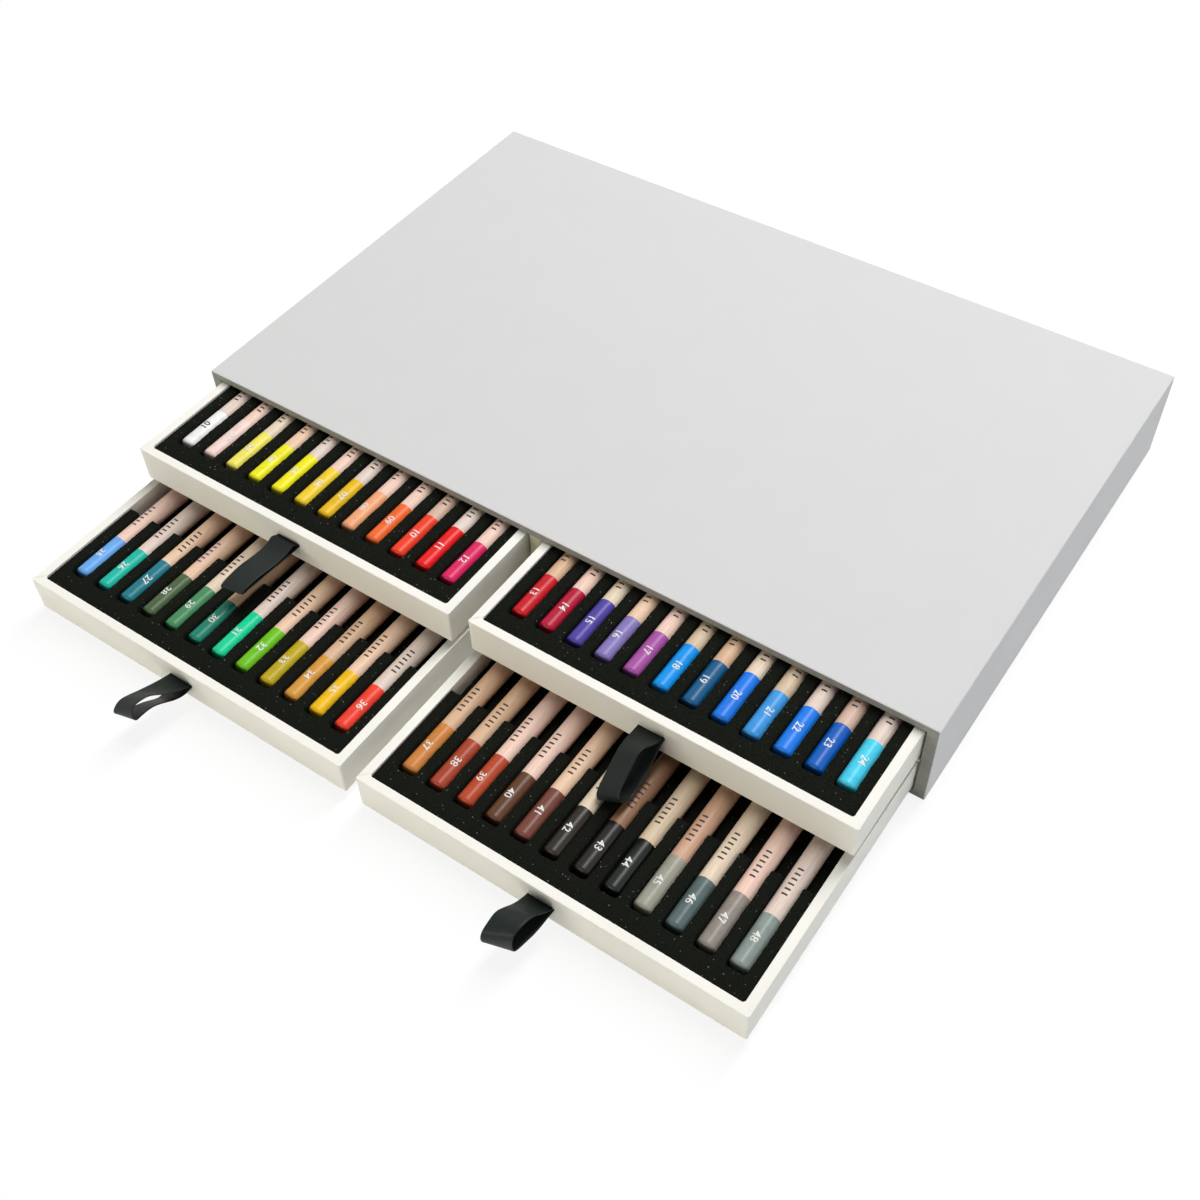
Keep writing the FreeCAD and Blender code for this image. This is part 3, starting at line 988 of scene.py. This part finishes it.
def turned_row(profile, axes, height, sides=32):
    """Points and faces of one round piece for each axis, turned about it from the radius and
    place of each ring. Each piece ends in a small flat face.
    """
    turn = np.arange(sides) * 2 * pi / sides
    radius, place = np.array(profile).T
    ring_x = radius[:, None] * np.sin(turn)
    ring_z = height - radius[:, None] * np.cos(turn)
    ring_y = np.repeat(place[:, None], sides, axis=1)
    rings = np.stack([ring_x, ring_y, ring_z], axis=2)
    one, faces = rings.reshape(-1, 3), lofted(rings)
    return joined([(one + [axis, 0, 0], faces) for axis in axes])


def paints(plan):
    """The lacquer colours of a tray's pencils as an array of linear colours."""
    return np.array([linear(code) for code in LACQUERS[plan.place].split()])


def make_pencils(plan):
    """The pencils of a tray: lacquered ends, cedar casings and pastel points. An end's dome is a
    quarter of a superellipse: a circle's sine and cosine raised to a power that squares it.
    """
    own = settings("box_pencil")
    source = random_numbers(plan.place, "pencils")
    squaring = 0.77
    swing = np.linspace(0.04, 1, 11) * pi / 2
    r, lip, dipped = plan.radius, own.lacquer_lip, plan.seam - plan.tip
    cap = [
        (r * sin(t) ** squaring, plan.tip + own.dome * (1 - max(cos(t), 0) ** squaring))
        for t in swing
    ]
    cap += [(r, plan.tip + share * dipped) for share in (0.35, 0.6, 0.85)]
    cap += [(r, plan.seam - lip), (r - lip * 0.3, plan.seam), (r - lip * 1.5, plan.seam + lip)]
    points, faces = turned_row(cap, plan.axes, plan.axis_height, 40)
    each = len(points) // len(plan.axes)
    shifts = np.clip(source.normal(0, 1, len(plan.axes)), -2, 2) * own.seam_spread
    # The seam moves with its pencil's shift, and the dome stays
    run = np.clip((points[:, 1] - plan.tip) / dipped * 1.4 - 0.4, 0, None)
    points[:, 1] += run * np.repeat(shifts, each)
    finish = once(dipped_lacquer, "dipped_lacquer")
    ends = build(plan.place + "_lacquered_ends", points, faces, [finish])
    give_paint(ends, paints(plan))
    seat(ends, plan.body, plan.place + "_lacquer", plan.place + "_dipped_ends")

    # The casing starts inside the lacquer
    wood, start = r - lip, plan.seam - 2 * MM
    casing = [(wood * 0.2, start), (wood, start)]
    casing += [(wood, plan.seam + share * (plan.shoulder - plan.seam)) for share in (0.3, 0.7)]
    casing += [
        (wood, plan.shoulder - 0.3 * MM),
        (wood - 0.05 * MM, plan.shoulder + 0.1 * MM),
        (plan.core_radius, plan.core_start),
        (plan.core_radius * 0.3, plan.core_start),
    ]
    points, faces = turned_row(casing, plan.axes, plan.axis_height)
    finish = once(cedar_casing, "cedar_casing", own.grain)
    barrels = build(plan.place + "_barrels", points, faces, [finish])
    give_paint(barrels, [linear(CEDARS[tone]) for tone in CASINGS[plan.place].split()])
    even_flats(barrels)
    seat(barrels, plan.body, "cedar", plan.place + "_pencil_barrels")

    core = plan.core_radius
    slope = core / (plan.point - plan.core_start)
    point = [(core * 0.5, plan.core_start - 0.3 * MM), (core, plan.core_start - 0.02 * MM)]
    point += [
        (core - slope * (y - plan.core_start), y)
        for y in np.linspace(plan.core_start + 0.3 * MM, plan.point - 1.1 * MM, 4)
    ]
    blunt, place = point[-1]
    point += [(blunt * cos(t), place + blunt * 1.6 * sin(t)) for t in (0.5, 1.0, 1.35)]
    points, faces = turned_row(point, plan.axes, plan.axis_height, 20)
    cores = build(plan.place + "_points", points, faces, [once(pastel_core, "pastel_core")])
    give_paint(cores, paints(plan))
    seat(cores, plan.body, plan.place + "_pastel", plan.place + "_pencil_points")


def rolled_on(flat, plan, axis, start, roll, lift):
    """Flat marks laid round a pencil: their x runs towards the front from start, and their y runs
    round the barrel, as an arc of the same length, from the top rolled by an angle.
    """
    radius = plan.radius + lift
    turn = flat[:, 1] / plan.radius + roll
    x, z = axis + radius * np.sin(turn), plan.axis_height + radius * np.cos(turn)
    return np.stack([x, start - flat[:, 0], z], axis=1)


def written(words, size):
    """Points and faces of a short text, flat and centred, cut into narrow strips along its
    height so that it can be laid round a barrel.
    """
    curve = bpy.data.curves.new("mark", "FONT")
    curve.body = words
    curve.size = size
    curve.align_x = "CENTER"
    curve.align_y = "CENTER"
    curve.offset = 0.012 * size
    text = bpy.data.objects.new("mark", curve)
    bpy.context.scene.collection.objects.link(text)
    evaluated = text.evaluated_get(bpy.context.evaluated_depsgraph_get())
    mesh = bpy.data.meshes.new_from_object(evaluated)
    flat = bmesh.new()
    flat.from_mesh(mesh)
    near = size * 0.001
    bmesh.ops.remove_doubles(flat, verts=flat.verts, dist=near)
    for level in np.arange(-0.5, 0.55, 0.1) * size:
        everything = flat.verts[:] + flat.edges[:] + flat.faces[:]
        cut = {"plane_co": (0, level, 0), "plane_no": (0, 1, 0), "dist": near}
        bmesh.ops.bisect_plane(flat, geom=everything, **cut)
    flat.verts.index_update()
    points = np.array([v.co[:] for v in flat.verts])
    faces = [[v.index for v in face.verts] for face in flat.faces]
    flat.free()
    bpy.data.objects.remove(text)
    bpy.data.meshes.remove(mesh)
    bpy.data.curves.remove(curve)
    return points, faces


def make_marks(plan):
    """What is printed on the pencils: a running number on each lacquered end, and six plain bars
    on each barrel.
    """
    own = settings("box_pencil")
    source = random_numbers(plan.place, "marks")
    first = PLACES.index(plan.place) * len(plan.axes) + 1
    rolls = source.uniform(-0.28, 0.22, len(plan.axes))
    middle = plan.tip + 0.54 * (plan.seam - plan.tip)
    number_size, bar_width, bar_pitch, first_bar = (v * MM for v in (4.2, 0.7, 2.2, 8.2))
    # Above the lacquer, and above the wood, which lies deeper than the pencil's radius
    number_lift, bar_lift = 0.015 * MM, -0.055 * MM
    bar_round = np.linspace(-1.15, 1.15, 6) * MM
    bar = np.array([[x, y, 0] for x in (0, -bar_width) for y in bar_round])
    bar_faces = grid_faces(2, len(bar_round))[:, ::-1].tolist()
    numbers, number_inks, bars, bar_inks = [], [], [], []
    for i, axis in enumerate(plan.axes):
        flat, faces = written(f"{first + i:02d}", number_size)
        numbers.append((rolled_on(flat, plan, axis, middle, rolls[i], number_lift), faces))
        ink = own.dark_ink if (plan.place, i) == DARK_NUMBERED else own.white_ink
        number_inks += [list(ink)] * len(flat)
        ink = own.blue_ink if (plan.place, i) == BLUE_BARRED else own.dark_ink
        for count in range(6):
            near = plan.seam + first_bar + count * bar_pitch
            bars.append((rolled_on(bar, plan, axis, near, rolls[i], bar_lift), bar_faces))
            bar_inks += [list(ink)] * len(bar)
    print_finish = once(foil_print, "hot_stamped_ink")
    for name, parts, inks, slot in (
        ("_numbers", numbers, number_inks, plan.place + "_lacquer"),
        ("_bars", bars, bar_inks, "cedar"),
    ):
        piece = build(plan.place + name, *joined(parts), [print_finish])
        give_paint(piece, inks)
        thicken = piece.modifiers.new("ink_thickness", "SOLIDIFY")
        thicken.thickness = 0.03 * MM
        thicken.offset = 1.0
        seat(piece, plan.body, slot)


def smooth_path(corners, steps=6):
    """A path that rounds its corners: from the middle of each side to the middle of the next it
    is a quadratic curve drawn to the corner between them. It starts and ends at the end corners.
    """
    middles = (corners[:-1] + corners[1:]) / 2
    share = np.linspace(0, 1, steps, endpoint=False)[:, None]
    parts = [corners[:1]]
    for before, corner, after in zip(middles[:-1], corners[1:-1], middles[1:]):
        parts.append(
            before * (1 - share) ** 2 + 2 * corner * share * (1 - share) + after * share**2
        )
    return np.concatenate(parts + [middles[-1:], corners[-1:]])


def make_ribbon(plan):
    """A satin ribbon folded double through the slit. Its middle sheet is ruled between its two
    edges: the less apart they are from front to back and in height, the more they are across.
    Each side of the ribbon lies half its thickness off that sheet, along the sheet's normal, and
    comes closer to it at the edges.
    """
    own = settings("box_ribbon")
    _, slit_z = slit_of(plan)
    rows = (*UPPER_LAYER_IN_SLIT, *RIBBON_LIES[plan.place], *LOWER_LAYER_IN_SLIT)
    edges = smooth_path(np.array(rows, float) * MM)
    out, up = edges[:, 1::2], edges[:, 2::2]
    apart = (out[:, 1] - out[:, 0]) ** 2 + (up[:, 1] - up[:, 0]) ** 2
    half_across = np.sqrt(own.width**2 - apart) / 2
    centre = plan.middle - edges[:, 0]
    left = np.stack([centre - half_across, plan.y[0] - out[:, 0], up[:, 0]], axis=1)
    right = np.stack([centre + half_across, plan.y[0] - out[:, 1], up[:, 1]], axis=1)
    share = np.array([0, 0.03, 0.12, 0.31, 0.5, 0.69, 0.88, 0.97, 1])
    sheet = left[:, None] * (1 - share[:, None]) + right[:, None] * share[:, None]
    sheet[..., 2] += (slit_z[0] + slit_z[1]) / 2
    normal = np.cross(np.gradient(sheet, axis=0), np.gradient(sheet, axis=1))
    normal /= np.linalg.norm(normal, axis=2, keepdims=True)
    thick = own.thickness / 2 * np.array([0.4, 1, 0.85, 0.8, 0.8, 0.8, 0.85, 1, 0.4])[:, None]
    grid = np.concatenate([sheet - normal * thick, (sheet + normal * thick)[:, ::-1]], axis=1)
    finish = once(satin_ribbon, "woven_satin", own.satin)
    piece = build(plan.place + "_ribbon", grid, lofted(grid), [finish])
    weave = piece.data.uv_layers.new(name="weave")
    index = np.empty(len(piece.data.loops), np.int32)
    piece.data.loops.foreach_get("vertex_index", index)
    steps = np.linalg.norm(np.diff(sheet[:, len(share) // 2], axis=0), axis=1)
    along = np.concatenate([[0], np.cumsum(steps)])
    across = (np.concatenate([share, share[::-1]]) - 0.5) * own.width
    places = np.stack([np.tile(across, len(along)), np.repeat(along, len(across))], axis=1)
    weave.data.foreach_set("uv", places[index].astype(np.float32).ravel())
    seat(piece, plan.body, "black_satin", plan.place + "_ribbon_pull")


def shows_background(tree):
    """One for each ray that shows the background, which is a ray from the camera or one that a
    gloss or a glass sends on, and nothing for the rays that light the box.
    """
    rays = add_node(tree, "LightPath").outputs
    shown = rays["Is Camera Ray"]
    for name in ("Is Glossy Ray", "Is Transmission Ray"):
        shown = add_node(tree, "Math", {"operation": "MAXIMUM", 0: shown, 1: rays[name]})
    return shown


def make_floor():
    """A wide pale floor. The camera sees it as white wherever no shadow falls, with the shadows
    as faint as on an overexposed studio floor.
    """
    own = settings("box_stage")
    reach = 3.0
    points = [(-reach, -reach, 0), (reach, -reach, 0), (reach, reach, 0), (-reach, reach, 0)]
    made, tree, shader = new_material("painted_floor")
    seen = shows_background(tree)
    shadowed = dimmed(own.floor, own.floor_shadow)
    pale = {"data_type": "RGBA", SHARE: seen, FIRST: list(own.floor), SECOND: shadowed}
    lift = add_node(tree, "MapRange", {"Value": seen, "To Max": own.floor_lift})
    feed(shader, {"Base Color": add_node(tree, "Mix", pale).outputs[BLEND]})
    feed(shader, {"Roughness": 0.9, "Specular IOR Level": 0.0})
    feed(shader, {"Emission Color": (1, 1, 1, 1), "Emission Strength": lift})
    floor = build("floor", points, [(0, 1, 2, 3)], [made])


def make_camera():
    """The camera at the photograph's place: its way back, right and up from two angles and a
    roll, looking at a point on the floor.
    """
    own = settings("box_stage")
    turn, rise, roll = own.azimuth, own.elevation, own.roll
    back = Vector((sin(turn) * cos(rise), -cos(turn) * cos(rise), sin(rise)))
    right = Vector((cos(turn), sin(turn), 0))
    up = back.cross(right)
    rolled_right = right * cos(roll) + up * sin(roll)
    rolled_up = up * cos(roll) - right * sin(roll)
    target = Vector((19.61, -93.97, 0)) * MM
    data = bpy.data.cameras.new("camera")
    data.lens = own.lens
    data.sensor_width = 36
    camera = bpy.data.objects.new("camera", data)
    place = Matrix((rolled_right, rolled_up, back)).transposed().to_4x4()
    place.translation = target + back * own.distance
    camera.matrix_world = place
    bpy.context.scene.collection.objects.link(camera)
    bpy.context.scene.camera = camera


def make_light():
    """A long lamp behind and above, which draws a thin bright line along each lacquered end and
    leaves the fronts in shade, and two that fill in from the front and the right.
    """
    own = settings("box_stage")
    world = bpy.data.worlds.new("studio")
    bpy.context.scene.world = world
    world.use_nodes = True
    tree = world.node_tree
    tree.nodes.clear()
    strength = add_node(tree, "MapRange", {"Value": shows_background(tree), "To Min": own.sky})
    white = add_node(tree, "Background", {"Color": (1, 1, 1, 1), "Strength": strength})
    add_node(tree, "OutputWorld", {"Surface": white})
    # Each lamp's power as a share of the key's, its tint, its place, what it points at, its size
    lamps = (
        ("key", 1.0, (1.0, 1.0, 1.0), (0.15, 1.0, 2.0), (0.05, -0.1, 0.0), (0.55, 2.3)),
        ("front", 0.3, (1.0, 0.97, 0.83), (-0.5, -2.2, 0.5), (0.0, -0.1, 0.0), (1.6, 0.6)),
        ("right", 0.09, (0.82, 0.9, 1.0), (2.0, 0.2, 0.7), (0.05, -0.1, 0.0), (1.0, 0.8)),
    )
    for name, share, tint, place, aim, size in lamps:
        data = bpy.data.lights.new(name, "AREA")
        data.energy = own.key * share
        data.color = tint
        data.shape = "RECTANGLE"
        data.size, data.size_y = size
        lamp = bpy.data.objects.new(name, data)
        lamp.location = place
        lamp.rotation_mode = "QUATERNION"
        lamp.rotation_quaternion = (Vector(aim) - Vector(place)).to_track_quat("-Z", "Y")
        bpy.context.scene.collection.objects.link(lamp)
    bpy.context.scene.view_settings.view_transform = "Standard"


def for_each_tray(*makers):
    """Calls the makers in turn with the plan of each tray."""
    for place in PLACES:
        plan = tray_plan(place)
        for maker in makers:
            maker(plan)
    return {"FINISHED"}


class MakeSleeve(bpy.types.Operator):
    """Makes the sleeve's shell and the paper on its back"""

    bl_idname = "drawer_box.make_sleeve"
    bl_label = "Sleeve"

    def execute(self, context):
        make_sleeve_shell()
        make_back_paper()
        return {"FINISHED"}


class MakePartitions(bpy.types.Operator):
    """Makes the divider and the shelves inside the sleeve"""

    bl_idname = "drawer_box.make_partitions"
    bl_label = "Divider and Shelves"

    def execute(self, context):
        make_partition("divider_cover", "centre_divider", 1.2 * MM)
        for shelf in ("left_shelf", "right_shelf"):
            make_partition(shelf + "_cover", shelf, 0.6 * MM)
        return {"FINISHED"}


class MakeTrays(bpy.types.Operator):
    """Makes the four wrapped trays"""

    bl_idname = "drawer_box.make_trays"
    bl_label = "Trays"

    def execute(self, context):
        return for_each_tray(make_tray)


class MakeFoam(bpy.types.Operator):
    """Makes the foam in the trays"""

    bl_idname = "drawer_box.make_foam"
    bl_label = "Foam"

    def execute(self, context):
        return for_each_tray(make_foam)


class MakePencils(bpy.types.Operator):
    """Makes the pencils and what is printed on them"""

    bl_idname = "drawer_box.make_pencils"
    bl_label = "Pencils"

    def execute(self, context):
        return for_each_tray(make_pencils, make_marks)


class MakeRibbons(bpy.types.Operator):
    """Makes the ribbon pulls"""

    bl_idname = "drawer_box.make_ribbons"
    bl_label = "Ribbons"

    def execute(self, context):
        return for_each_tray(make_ribbon)


class MakeStage(bpy.types.Operator):
    """Makes the floor, the camera and the light"""

    bl_idname = "drawer_box.make_stage"
    bl_label = "Stage"

    def execute(self, context):
        make_floor()
        make_camera()
        make_light()
        return {"FINISHED"}


MAKERS = (MakeSleeve, MakePartitions, MakeTrays, MakeFoam, MakePencils, MakeRibbons, MakeStage)


class DrawerBoxPanel(bpy.types.Panel):
    """Lists the operators in the sidebar"""

    bl_idname = "VIEW3D_PT_drawer_box"
    bl_label = "Drawer Box"
    bl_space_type = "VIEW_3D"
    bl_region_type = "UI"
    bl_category = "Drawer Box"

    def draw(self, context):
        for maker in MAKERS:
            self.layout.operator(maker.bl_idname)


GROUPS = {
    "box_sleeve": SleeveSettings,
    "box_tray": TraySettings,
    "box_foam": FoamSettings,
    "box_pencil": PencilSettings,
    "box_ribbon": RibbonSettings,
    "box_stage": StageSettings,
}
CLASSES = (*GROUPS.values(), *MAKERS, DrawerBoxPanel)


def register():
    """Registers the classes, and gives the scene its groups of settings."""
    for made in CLASSES:
        bpy.utils.register_class(made)
    for name, group in GROUPS.items():
        setattr(bpy.types.Scene, name, bpy.props.PointerProperty(type=group))


def unregister():
    """Undoes what register does."""
    for name in GROUPS:
        delattr(bpy.types.Scene, name)
    for made in reversed(CLASSES):
        bpy.utils.unregister_class(made)


def main():
    """Makes everything in order."""
    register()
    for maker in MAKERS:
        group, name = maker.bl_idname.split(".")
        getattr(getattr(bpy.ops, group), name)()


if __name__ == "__main__":
    main()
